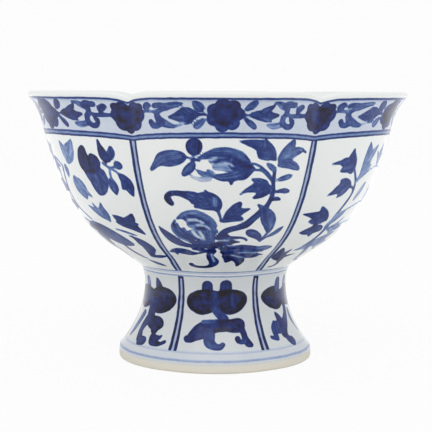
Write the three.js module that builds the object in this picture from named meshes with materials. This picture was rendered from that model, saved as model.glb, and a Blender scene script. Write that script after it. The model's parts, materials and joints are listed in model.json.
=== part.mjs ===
// A six-lobed stem bowl of glazed porcelain.
// Millimetres, +Z up. The origin is on the axis, in the plane that the foot ring stands on,
// and the middle of one lobe faces -Y, which is the front.
// The bowl and the hollow stem are formed apart and joined with a ring of slip before firing.

import * as THREE from 'three';
import { mergeVertices } from 'three/addons/utils/BufferGeometryUtils.js';

// Overall sizes
const overallHeight = 106;
const rimRadius = 77.6;
const lobeCount = 6;

// Bowl: the wall rises from the seat to the neck, and the lip turns out above the neck
const neckRadius = 71.7;
const lipRise = 11;
const lipLean = THREE.MathUtils.degToRad(40);
const lipThickness = 2.2;
const neckWall = 2.6;
const baseWall = 4.2;
const floorThickness = 4.6;
const floorRadius = 22;
const floorClearance = 1;
const rimDip = 1.7;
const rimDipLength = 4;
const rimDipDepth = 20;

// Stem and foot ring
const stemHeight = 36;
const stemTopRadius = 29.8;
const stemTopWall = 6.4;
const stemTopBore = stemTopRadius - stemTopWall;
const waistDrawIn = 0.9;
const waistRadius = stemTopRadius - waistDrawIn;
const waistHeight = 26;
const waistWall = 4.6;
const waistPull = 2.2;
const footRadius = 39;
const footBandHeight = 4;
const footRingWidth = 5.2;
const footEdgeRounding = 0.8;
const footRingChamfer = 0.6;
const ringInside = footRadius - footEdgeRounding - footRingWidth;

// Joint between the two
const slipThickness = 0.75;
const bossDepth = 2;
const bossClearance = 0.8;

// Depth of the creases between lobes: the radius in a crease over the radius of its lobe
const footCrease = 0.988;
const waistCrease = 0.978;
const bodyCrease = 0.917;
const rimCrease = 0.877;
const creaseDeepening = 11;

// Handles of the profile curves, as shares of the way from start to end: across, then up
const wallLowHandle = [0.39, 0.205];
const wallHighHandle = [0.745, 0.245];
const flareHandle = [0.74, 0.49];
const boreFlareHandle = [0.62, 0.46];

// Fineness of the surfaces
const stepsPerLobe = 12;
const wallSteps = 9;
const lipSteps = 4;
const lipEndSteps = 4;
const stemSteps = 8;
const edgeSteps = 3;

const point = (radius, height) => new THREE.Vector2(radius, height);

// A point part of the way from one to the other, across and up by its own share of each
const between = (start, end, [across, up]) =>
  point(start.x + (end.x - start.x) * across, start.y + (end.y - start.y) * up);

// The normal of a curve that runs upwards, on the side away from the axis
function outwardNormal(curve, share) {
  const direction = curve.getTangent(share);
  return point(direction.y, -direction.x);
}

const seatHeight = stemHeight + slipThickness;
const neckHeight = overallHeight - lipRise;

// Outside of the bowl, from the seat to the neck
function bowlWallCurve() {
  const start = point(stemTopRadius, seatHeight);
  const end = point(neckRadius, neckHeight);
  return new THREE.CubicBezierCurve(
    start,
    between(start, end, wallLowHandle),
    between(start, end, wallHighHandle),
    end,
  );
}

// Middle of the round lip edge, which touches the overall height and the rim radius
const lipCentre = point(rimRadius - lipThickness / 2, overallHeight - lipThickness / 2);
const lipDirection = point(Math.sin(lipLean), Math.cos(lipLean));
const lipNormal = point(lipDirection.y, -lipDirection.x);

// Outside of the lip, from the neck to the edge
function lipCurve(wall) {
  const start = wall.getPoint(1);
  const end = lipCentre.clone().addScaledVector(lipNormal, lipThickness / 2);
  const handle = start.distanceTo(end) / 3;
  return new THREE.CubicBezierCurve(
    start,
    start.clone().addScaledVector(wall.getTangent(1), handle),
    end.clone().addScaledVector(lipDirection, -handle),
    end,
  );
}

// Half round over the lip edge, from outside to inside, without its two ends
function lipEdgePoints() {
  const points = [];
  for (let step = 1; step < lipEndSteps; step += 1) {
    const turn = (Math.PI * step) / lipEndSteps;
    points.push(
      lipCentre
        .clone()
        .addScaledVector(lipNormal, (Math.cos(turn) * lipThickness) / 2)
        .addScaledVector(lipDirection, (Math.sin(turn) * lipThickness) / 2),
    );
  }
  return points;
}

// Points of a curve moved inwards by a wall that changes evenly from the curve's start to its end
function innerPoints(curve, steps, startWall, endWall) {
  const points = [];
  for (let step = 0; step <= steps; step += 1) {
    const share = step / steps;
    const wall = THREE.MathUtils.lerp(startWall, endWall, share);
    points.push(curve.getPoint(share).addScaledVector(outwardNormal(curve, share), -wall));
  }
  return points;
}

function bowlProfile() {
  const wall = bowlWallCurve();
  const lip = lipCurve(wall);
  const bossRadius = stemTopBore * waistCrease - bossClearance;
  const bossHeight = stemHeight - bossDepth;
  const floorHeight = seatHeight + floorThickness;
  const insideWall = innerPoints(wall, wallSteps, baseWall, neckWall);
  const insideLip = innerPoints(lip, lipSteps, neckWall, lipThickness);
  const inside = [...insideWall, ...insideLip.slice(1)].filter(
    (spot) => spot.y > floorHeight + floorClearance && spot.x > floorRadius + floorClearance,
  );
  return [
    point(0, bossHeight),
    point(bossRadius, bossHeight),
    point(bossRadius, seatHeight),
    ...wall.getPoints(wallSteps),
    ...lip.getPoints(lipSteps).slice(1),
    ...lipEdgePoints(),
    ...inside.reverse(),
    point(floorRadius, floorHeight),
    point(0, floorHeight),
  ];
}

// Outside of the stem, from the top of the foot band to the joint
function stemCurve() {
  return new THREE.CubicBezierCurve(
    point(footRadius, footBandHeight),
    between(point(footRadius, 0), point(waistRadius, waistHeight), flareHandle),
    point(waistRadius - waistPull, waistHeight),
    point(stemTopRadius, stemHeight),
  );
}

// Inside of the stem, from the foot ring to the bore under the bowl
function boreCurve() {
  const waistBore = waistRadius - waistWall;
  return new THREE.CubicBezierCurve(
    point(ringInside, footRingChamfer),
    between(point(ringInside, 0), point(waistBore, waistHeight), boreFlareHandle),
    point(waistBore - waistPull, waistHeight),
    point(stemTopBore, stemHeight),
  );
}

// Quarter round at the foot's lower outer edge
function footEdgePoints() {
  const points = [];
  for (let step = 0; step <= edgeSteps; step += 1) {
    const turn = (Math.PI / 2) * (step / edgeSteps);
    points.push(
      point(
        footRadius - footEdgeRounding * (1 - Math.sin(turn)),
        footEdgeRounding * (1 - Math.cos(turn)),
      ),
    );
  }
  return points;
}

function stemProfile() {
  const ringStart = point(ringInside + footRingChamfer, 0);
  return [
    ringStart,
    ...footEdgePoints(),
    ...stemCurve().getPoints(stemSteps),
    ...boreCurve().getPoints(stemSteps).reverse(),
    ringStart.clone(),
  ];
}

function slipProfile() {
  return [
    point(stemTopBore, stemHeight),
    point(stemTopRadius, stemHeight),
    point(stemTopRadius, seatHeight),
    point(stemTopBore, seatHeight),
    point(stemTopBore, stemHeight),
  ];
}

// Crease depth on the bowl, by the height and radius of a spot on its profile
function bowlCrease(height, radius) {
  const deepened = THREE.MathUtils.smoothstep(radius, stemTopRadius, stemTopRadius + creaseDeepening);
  const turnedOut = THREE.MathUtils.smoothstep(height, neckHeight, overallHeight);
  const body = THREE.MathUtils.lerp(waistCrease, bodyCrease, deepened);
  return THREE.MathUtils.lerp(body, rimCrease, turnedOut);
}

// Crease depth on the stem and the slip
function stemCrease(height) {
  const raised = THREE.MathUtils.smoothstep(height, 0, waistHeight);
  return THREE.MathUtils.lerp(footCrease, waistCrease, raised);
}

// A round body turned from its profile, then drawn into lobes.
// In plan each lobe is an arc of a circle, and neighbouring arcs meet in a crease.
function lobedGeometry(profile, creaseAt) {
  const turned = new THREE.LatheGeometry(profile, lobeCount * stepsPerLobe);
  turned.deleteAttribute('normal');
  turned.deleteAttribute('uv');
  turned.rotateX(Math.PI / 2);
  const halfLobe = Math.PI / lobeCount;
  const places = turned.attributes.position;
  for (let index = 0; index < places.count; index += 1) {
    const x = places.getX(index);
    const y = places.getY(index);
    const z = places.getZ(index);
    const radius = Math.hypot(x, y);
    const around = Math.atan2(x, -y) / (2 * halfLobe);
    const fromLobe = (around - Math.round(around)) * 2 * halfLobe;
    const crease = creaseAt(z, radius);
    const centre = (1 - crease * crease) / (2 * (1 - crease * Math.cos(halfLobe)));
    const across = centre * Math.sin(fromLobe);
    const stretch = centre * Math.cos(fromLobe) + Math.sqrt((1 - centre) ** 2 - across ** 2);
    const fromCrease = (halfLobe - Math.abs(fromLobe)) * radius;
    const nearRim = THREE.MathUtils.smoothstep(z, overallHeight - rimDipDepth, overallHeight);
    const dip = rimDip * nearRim * Math.exp(-fromCrease / rimDipLength);
    places.setXYZ(index, x * stretch, y * stretch, z - dip);
  }
  const body = mergeVertices(turned, 1e-4);
  body.computeVertexNormals();
  return body;
}

const glaze = new THREE.MeshStandardMaterial({ color: 0xe6e7e1, roughness: 0.12, metalness: 0 });
const stemGlaze = new THREE.MeshStandardMaterial({ color: 0xdfe2e2, roughness: 0.12, metalness: 0 });
const driedSlip = new THREE.MeshStandardMaterial({ color: 0xe8e2d6, roughness: 0.8, metalness: 0 });

function piece(name, profile, creaseAt, material) {
  const mesh = new THREE.Mesh(lobedGeometry(profile, creaseAt), material);
  mesh.name = name;
  return mesh;
}

const stemBowl = new THREE.Group();
stemBowl.add(piece('stem_foot', stemProfile(), stemCrease, stemGlaze));
stemBowl.add(piece('luting_slip', slipProfile(), stemCrease, driedSlip));
stemBowl.add(piece('bowl', bowlProfile(), bowlCrease, glaze));

export default stemBowl;
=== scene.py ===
# %% [markdown]
# # A six-lobed stem bowl in blue and white porcelain
# The real bowl is made in two parts: a bowl pressed over a lobed mould, and a hollow stem that is
# thrown and then pressed into the same six lobes. They are joined with liquid clay, painted with
# cobalt, dipped in clear glaze and fired. This lesson follows that order: shape, join, paint, glaze.

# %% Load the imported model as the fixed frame
import json
import math

import bpy
import numpy as np
from mathutils import Matrix, Vector

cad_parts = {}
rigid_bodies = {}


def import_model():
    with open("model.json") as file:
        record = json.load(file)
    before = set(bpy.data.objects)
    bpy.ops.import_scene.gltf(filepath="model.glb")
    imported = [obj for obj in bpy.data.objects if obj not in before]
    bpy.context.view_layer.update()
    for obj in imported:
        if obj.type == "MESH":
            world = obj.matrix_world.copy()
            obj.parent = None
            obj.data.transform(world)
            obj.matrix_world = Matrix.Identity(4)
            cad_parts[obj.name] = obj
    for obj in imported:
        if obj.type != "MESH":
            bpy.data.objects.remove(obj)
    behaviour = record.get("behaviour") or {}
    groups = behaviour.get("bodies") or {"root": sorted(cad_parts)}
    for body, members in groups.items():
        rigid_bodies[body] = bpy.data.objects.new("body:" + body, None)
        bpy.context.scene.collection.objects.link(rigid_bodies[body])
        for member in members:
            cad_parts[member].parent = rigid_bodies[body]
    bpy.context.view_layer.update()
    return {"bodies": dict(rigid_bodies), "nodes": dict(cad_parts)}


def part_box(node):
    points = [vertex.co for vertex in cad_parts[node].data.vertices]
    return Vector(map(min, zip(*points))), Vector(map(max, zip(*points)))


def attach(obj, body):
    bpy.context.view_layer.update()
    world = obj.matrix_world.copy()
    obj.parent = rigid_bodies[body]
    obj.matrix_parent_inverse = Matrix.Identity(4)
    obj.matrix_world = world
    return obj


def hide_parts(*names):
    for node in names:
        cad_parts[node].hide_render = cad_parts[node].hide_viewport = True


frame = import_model()
print("nodes:", ", ".join(frame["nodes"]))

# %% [markdown]
# ## Sizes
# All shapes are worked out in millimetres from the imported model. The bowl's box gives its height
# and its widest reach, because the middle of one lobe faces the front. The stem's box and the box
# of the joint give the rest.

# %% Read the driving sizes from the frame
MM = 0.001
LOBES = 6
HALF_LOBE = math.pi / LOBES

bowl_low, bowl_high = (np.array(corner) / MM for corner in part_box("bowl"))
stem_high = np.array(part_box("stem_foot")[1]) / MM
slip_high = np.array(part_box("luting_slip")[1]) / MM

overall_height = bowl_high[2]
rim_radius = bowl_high[1]
boss_height = bowl_low[2]
foot_radius = stem_high[1]
stem_height = stem_high[2]
stem_top_radius = slip_high[1]
seat_height = slip_high[2]
print(f"{overall_height:.1f} mm high, rim radius {rim_radius:.1f}, foot radius {foot_radius:.1f}")

# %% [markdown]
# ## Curves of the profile
# A potter's template gives the profile of each part. Here it is a few Bezier curves, cut into
# equal lengths, so that rows of faces are even and the painting can be laid out in millimetres.


# %% Helpers for curves
CURVE_POINTS = 200
ARC_POINTS = 5


def smooth(value, low, high):
    """Rises from 0 at low to 1 at high with soft ends."""
    share = np.clip((value - low) / (high - low), 0, 1)
    return share * share * (3 - 2 * share)


def bezier(start, first, second, end):
    """Points of a cubic curve through two ends with two handles."""
    share = np.linspace(0, 1, CURVE_POINTS)[:, None]
    start, first, second, end = (np.array(spot, float) for spot in (start, first, second, end))
    near = (1 - share) ** 3 * start + 3 * (1 - share) ** 2 * share * first
    return near + 3 * (1 - share) * share**2 * second + share**3 * end


def lengths(points):
    """Distance along a line of points, from its start."""
    steps = np.hypot(*np.diff(points, axis=0).T)
    return np.concatenate([[0], np.cumsum(steps)])


def evenly(points, spacing):
    """The same line with points at equal distances, about the spacing apart."""
    along = lengths(points)
    marks = np.linspace(0, along[-1], max(2, round(along[-1] / spacing) + 1))
    return np.column_stack([np.interp(marks, along, points[:, side]) for side in (0, 1)])


def arc(centre, radius, start_angle, end_angle):
    """Points of a circle's arc in the plane of the profile, angles in degrees."""
    turn = np.radians(np.linspace(start_angle, end_angle, ARC_POINTS))[:, None]
    return np.array(centre) + radius * np.hstack([np.cos(turn), np.sin(turn)])


# %% [markdown]
# ## The bowl's profile
# The wall rises from the seat on the stem, bellies out and straightens to the neck. The lip turns
# out above the neck and ends in a rounded edge. The wall is thickest at the seat. A thin skirt of
# glaze runs from the seat down over the joint, as it does where the two parts were joined.

# %% Outside, lip, inside and underside of the bowl
NECK_RADIUS = 71.7
LIP_RISE = 11
LIP_LEAN = math.radians(40)
LIP_THICKNESS = 2.2
NECK_WALL = 2.6
BASE_WALL = 4.2
FLOOR_THICKNESS = 4.6
FLOOR_RADIUS = 22
BOSS_RADIUS = 22.1
WALL_LOW_HANDLE = [0.39, 0.205]
WALL_HIGH_HANDLE = [0.745, 0.245]
WELL_START = 3.2
WELL_HANDLE = 3.6
WELL_REACH = 4.5
WELL_END = 4
SKIRT = 0.15
SKIRT_CLEARANCE = 0.03
SKIRT_ROUNDING = 0.02
SKIRT_FLARE = 0.12
SKIRT_DROP = 0.25
OUTSIDE_SPACING = 0.78
INSIDE_SPACING = 7
WELL_SPACING = 2.4

neck_height = overall_height - LIP_RISE
floor_height = seat_height + FLOOR_THICKNESS
seat = np.array([stem_top_radius, seat_height])
neck = np.array([NECK_RADIUS, neck_height])
low_handle, high_handle = (seat + (neck - seat) * share for share in (WALL_LOW_HANDLE, WALL_HIGH_HANDLE))
wall = bezier(seat, low_handle, high_handle, neck)

lip_way = np.array([math.sin(LIP_LEAN), math.cos(LIP_LEAN)])
lip_side = np.array([lip_way[1], -lip_way[0]])
lip_centre = np.array([rim_radius, overall_height]) - LIP_THICKNESS / 2
lip_end = lip_centre + lip_side * LIP_THICKNESS / 2
neck_way = (neck - high_handle) / np.linalg.norm(neck - high_handle)
lip_handle = np.linalg.norm(lip_end - neck) / 3
lip = bezier(neck, neck + neck_way * lip_handle, lip_end - lip_way * lip_handle, lip_end)

lean = math.degrees(LIP_LEAN)
outer_edge = arc(lip_centre, LIP_THICKNESS / 2, -lean, 90 - lean)
inner_edge = arc(lip_centre, LIP_THICKNESS / 2, 90 - lean, 180 - lean)

outside = np.vstack([wall, lip[1:]])
outward = np.gradient(outside, axis=0)[:, ::-1] * [1, -1]
outward /= np.linalg.norm(outward, axis=1)[:, None]
wall_share = smooth(lengths(outside), 0, lengths(wall)[-1])
thickness = BASE_WALL + (NECK_WALL - BASE_WALL) * wall_share
lip_share = smooth(lengths(outside), *lengths(outside)[[CURVE_POINTS - 1, -1]])
thickness += (LIP_THICKNESS - NECK_WALL) * lip_share
inside = outside - outward * thickness[:, None]
inside = inside[inside[:, 1] > floor_height + WELL_START][::-1]
well_way = (inside[-1] - inside[-2]) / np.linalg.norm(inside[-1] - inside[-2])
well = bezier(
    inside[-1],
    inside[-1] + well_way * WELL_HANDLE,
    (FLOOR_RADIUS + WELL_REACH, floor_height),
    (FLOOR_RADIUS - WELL_END, floor_height),
)

underside = [(0, boss_height), (BOSS_RADIUS, boss_height), (BOSS_RADIUS, seat_height)]
skirt_radius = stem_top_radius + SKIRT
skirt = [
    (stem_top_radius + SKIRT_CLEARANCE, seat_height),
    (stem_top_radius + SKIRT_CLEARANCE, stem_height + 2 * SKIRT_ROUNDING),
    (skirt_radius, stem_height + SKIRT_ROUNDING),
    (skirt_radius + SKIRT_FLARE, seat_height - SKIRT_DROP),
]
outside_rows = evenly(np.vstack([outside, outer_edge[1:]]), OUTSIDE_SPACING)
well_rows = evenly(well, WELL_SPACING)[1:]
inside_rows = np.vstack([inner_edge[1:-1], evenly(inside, INSIDE_SPACING), well_rows])
bowl_profile = np.vstack([underside, skirt, outside_rows[1:], inside_rows, [(0, floor_height)]])
bowl_first = len(underside) + len(skirt) - 1
bowl_last = bowl_first + len(outside_rows) - 1
print(f"bowl profile of {len(bowl_profile)} rows, {lengths(outside_rows)[-1]:.1f} mm up the outside")

# %% [markdown]
# ## The stem's profile
# The stem is hollow and open below. Its outside narrows from the foot to a waist under the bowl.
# The foot stands on a flat ring with a rounded outer edge and a small chamfer inside.

# %% Bore, foot ring and outside of the stem
WAIST_RADIUS = 28.9
WAIST_HEIGHT = 26
WAIST_PULL = 2.2
WAIST_WALL = 4.6
TOP_BORE = 23.4
FOOT_BAND = 4
RING_WIDTH = 5.2
FOOT_ROUNDING = 0.8
RING_CHAMFER = 0.6
BORE_HANDLE = [0.62, 0.46]
FLARE_HANDLE = [0.74, 0.49]
BORE_SPACING = 3
STEM_SPACING = 0.42

ring_inside = foot_radius - FOOT_ROUNDING - RING_WIDTH
bore_waist = WAIST_RADIUS - WAIST_WALL
bore = bezier(
    (ring_inside, RING_CHAMFER),
    (ring_inside + (bore_waist - ring_inside) * BORE_HANDLE[0], WAIST_HEIGHT * BORE_HANDLE[1]),
    (bore_waist - WAIST_PULL, WAIST_HEIGHT),
    (TOP_BORE, stem_height),
)[::-1]
foot_edge = arc((foot_radius - FOOT_ROUNDING, FOOT_ROUNDING), FOOT_ROUNDING, -90, 0)
stem_side = bezier(
    (foot_radius, FOOT_BAND),
    (foot_radius + (WAIST_RADIUS - foot_radius) * FLARE_HANDLE[0], WAIST_HEIGHT * FLARE_HANDLE[1]),
    (WAIST_RADIUS - WAIST_PULL, WAIST_HEIGHT),
    (stem_top_radius, stem_height),
)
ring_start = (ring_inside + RING_CHAMFER, 0)
bore_rows = evenly(bore, BORE_SPACING)
side_rows = evenly(np.vstack([foot_edge[-1:], stem_side]), STEM_SPACING)[1:]
stem_outside_rows = np.vstack([foot_edge, side_rows])
stem_profile = np.vstack([bore_rows, [ring_start], stem_outside_rows, bore_rows[:1]])
stem_first = len(bore_rows) + 1
stem_last = stem_first + len(stem_outside_rows) - 1
print(f"stem profile of {len(stem_profile)} rows")

# %% [markdown]
# ## Turning a part
# Turning is what a potter's wheel does, and Blender's spin does the same: one vertex is extruded
# along the profile, and the line is spun round the axis. The steps are chosen so that rows of
# vertices fall exactly on each crease between lobes and on the middle of each lobe.


# %% Spin a profile round the axis
WELD = 0.002
BOWL_STEPS = LOBES * 110
STEM_STEPS = LOBES * 100


def turned(name, profile, steps):
    """A closed body turned from its profile, which is given in millimetres."""
    bpy.ops.object.select_all(action="DESELECT")
    bpy.ops.mesh.primitive_plane_add(size=MM, location=(0, 0, 0))
    piece = bpy.context.object
    piece.name = name
    piece.data.name = name
    bpy.ops.object.mode_set(mode="EDIT")
    bpy.ops.mesh.select_all(action="SELECT")
    bpy.ops.mesh.merge(type="CENTER")
    bpy.ops.mesh.select_all(action="SELECT")
    bpy.ops.transform.translate(value=(profile[0][0] * MM, 0, profile[0][1] * MM))
    for across, up in np.diff(profile, axis=0) * MM:
        bpy.ops.mesh.extrude_region_move(TRANSFORM_OT_translate={"value": (across, 0, up)})
    bpy.ops.mesh.select_all(action="SELECT")
    bpy.ops.mesh.spin(steps=steps, angle=math.tau, center=(0, 0, 0), axis=(0, 0, 1))
    bpy.ops.mesh.select_all(action="SELECT")
    bpy.ops.mesh.remove_doubles(threshold=WELD * MM)
    bpy.ops.mesh.normals_make_consistent(inside=False)
    bpy.ops.object.mode_set(mode="OBJECT")
    return piece


bowl = turned("painted_bowl", bowl_profile, BOWL_STEPS)
stem = turned("painted_stem", stem_profile, STEM_STEPS)
print(f"turned {len(bowl.data.polygons)} and {len(stem.data.polygons)} faces")

# %% [markdown]
# ## Where each vertex is
# While the parts are still round, each vertex has an angle, a radius and a height, and lies on one
# row of the profile. The painting and the map for baking are both laid out from these.


# %% Read places and match them with rows of the profile
def round_places(items, place):
    """Angle from the front, radius and height of a mesh's vertices or faces."""
    flat = np.empty(len(items) * 3, np.float32)
    items.foreach_get(place, flat)
    x, y, z = flat.astype(float).reshape(-1, 3).T / MM
    return np.arctan2(x, -y), np.hypot(x, y), z


def nearest(points, radius, height):
    """For each place, the number of the nearest point."""
    best = np.zeros(len(radius), int)
    gap = np.full(len(radius), np.inf)
    for number, (point_radius, point_height) in enumerate(points):
        here = np.hypot(radius - point_radius, height - point_height)
        closer = here < gap
        best[closer] = number
        gap[closer] = here[closer]
    return best


def from_lobe(angle):
    """Number of the lobe, from 0 at the front towards the right, and the angle from its middle."""
    lobe = np.round(angle / (2 * HALF_LOBE))
    return lobe.astype(int) % LOBES, angle - lobe * 2 * HALF_LOBE


# %% [markdown]
# ## Painting with strokes
# Each motif is a list of brush strokes. A stroke is its strength, from 0 for bare porcelain to 1
# for the heaviest cobalt, and the places that the brush passed: millimetres to the right of the
# lobe's middle, millimetres up the outside, and half the width of the mark. Every vertex gets its
# depth inside the nearest stroke, so the edge between blue and white stays crisp in the shader,
# where a picture of the pattern would blur. The edge of a stroke is darker, because the wet
# colour pools there. The distance aside from the middle of the stroke and the distance along it
# are kept as well, because the hairs of the brush leave streaks that run along each stroke.

# %% Brush
BARE = -3.0
BRUSH_REACH = 1.6
STROKE_OFFSET = 17.3
THINNEST = 0.12
EDGE_TONE = 1.05
POOLING = 0.13
POOL_WIDTH = 0.6
BLEND_FROM = -0.5
BLEND_TO = 0.1
STREAK_FROM = -0.2


def brush_path(marks, parts=5):
    """A smooth curve through the places of one stroke."""
    marks = np.array(marks * 2 if len(marks) == 1 else marks, float)
    guide = np.vstack([2 * marks[0] - marks[1], marks, 2 * marks[-1] - marks[-2]])
    share = np.arange(parts)[:, None] / parts
    spans = []
    for before, start, end, after in zip(guide, guide[1:], guide[2:], guide[3:]):
        bend = share**2 * (before - 2.5 * start + 2 * end - after / 2)
        ease = share**3 * (1.5 * (start - end) + (after - before) / 2)
        spans.append(start + share * (end - before) / 2 + bend + ease)
    path = np.vstack(spans + [marks[-1:]])
    path[:, 2] = np.maximum(path[:, 2], THINNEST)
    return path


def stroke_depth(path, across, up):
    """How far inside the stroke each place lies, how far aside of its middle and how far along it."""
    depth = np.full(across.shape, BARE)
    aside = np.zeros(across.shape)
    along = np.zeros(across.shape)
    passed = 0
    for (x0, y0, w0), (x1, y1, w1) in zip(path, path[1:]):
        run, rise = x1 - x0, y1 - y0
        step = max(math.hypot(run, rise), 1e-5)
        share = np.clip(((across - x0) * run + (up - y0) * rise) / step**2, 0, 1)
        gap = np.hypot(across - x0 - share * run, up - y0 - share * rise)
        here = w0 + share * (w1 - w0) - gap
        deeper = here > depth
        depth[deeper] = here[deeper]
        aside[deeper] = (((across - x0) * rise - (up - y0) * run) / step)[deeper]
        along[deeper] = (passed + share * step)[deeper]
        passed += step
    return depth, aside, along


def painted(across, up, strokes):
    """Depth inside the painting, its strength, and the places on the topmost stroke."""
    wash = np.full(across.shape, BARE)
    tone, aside, along = np.zeros((3, *across.shape))
    for number, (strength, *marks) in enumerate(strokes):
        path = brush_path(marks)
        widest = path[:, 2].max()
        low = path[:, :2].min(axis=0) - widest - BRUSH_REACH
        high = path[:, :2].max(axis=0) + widest + BRUSH_REACH
        beside = (across > low[0]) & (across < high[0])
        near = np.flatnonzero(beside & (up > low[1]) & (up < high[1]))
        depth, off_middle, passed = stroke_depth(path, across[near], up[near])
        pooled = strength * (EDGE_TONE - POOLING * smooth(depth, 0, POOL_WIDTH * widest))
        over = smooth(depth, BLEND_FROM, BLEND_TO)
        alone = (depth > wash[near]) & (wash[near] < 0)
        tone[near] = np.where(alone, pooled, tone[near] + (pooled - tone[near]) * over)
        topmost = alone | (depth > STREAK_FROM)
        aside[near[topmost]] = (off_middle + number * STROKE_OFFSET)[topmost]
        along[near[topmost]] = (passed + number * STROKE_OFFSET)[topmost]
        wash[near] = np.maximum(wash[near], depth)
    return wash, tone, aside, along


# %% [markdown]
# ## The spray on the front lobe
# A branch comes down the right side of the lobe and ends in a dark hook at its foot. It carries
# two round fruits, dark leaves under the lower one, a curled leaf and leaves at both sides above.
# Pale strokes laid over dark ones are the light lines that the brush left open.

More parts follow.
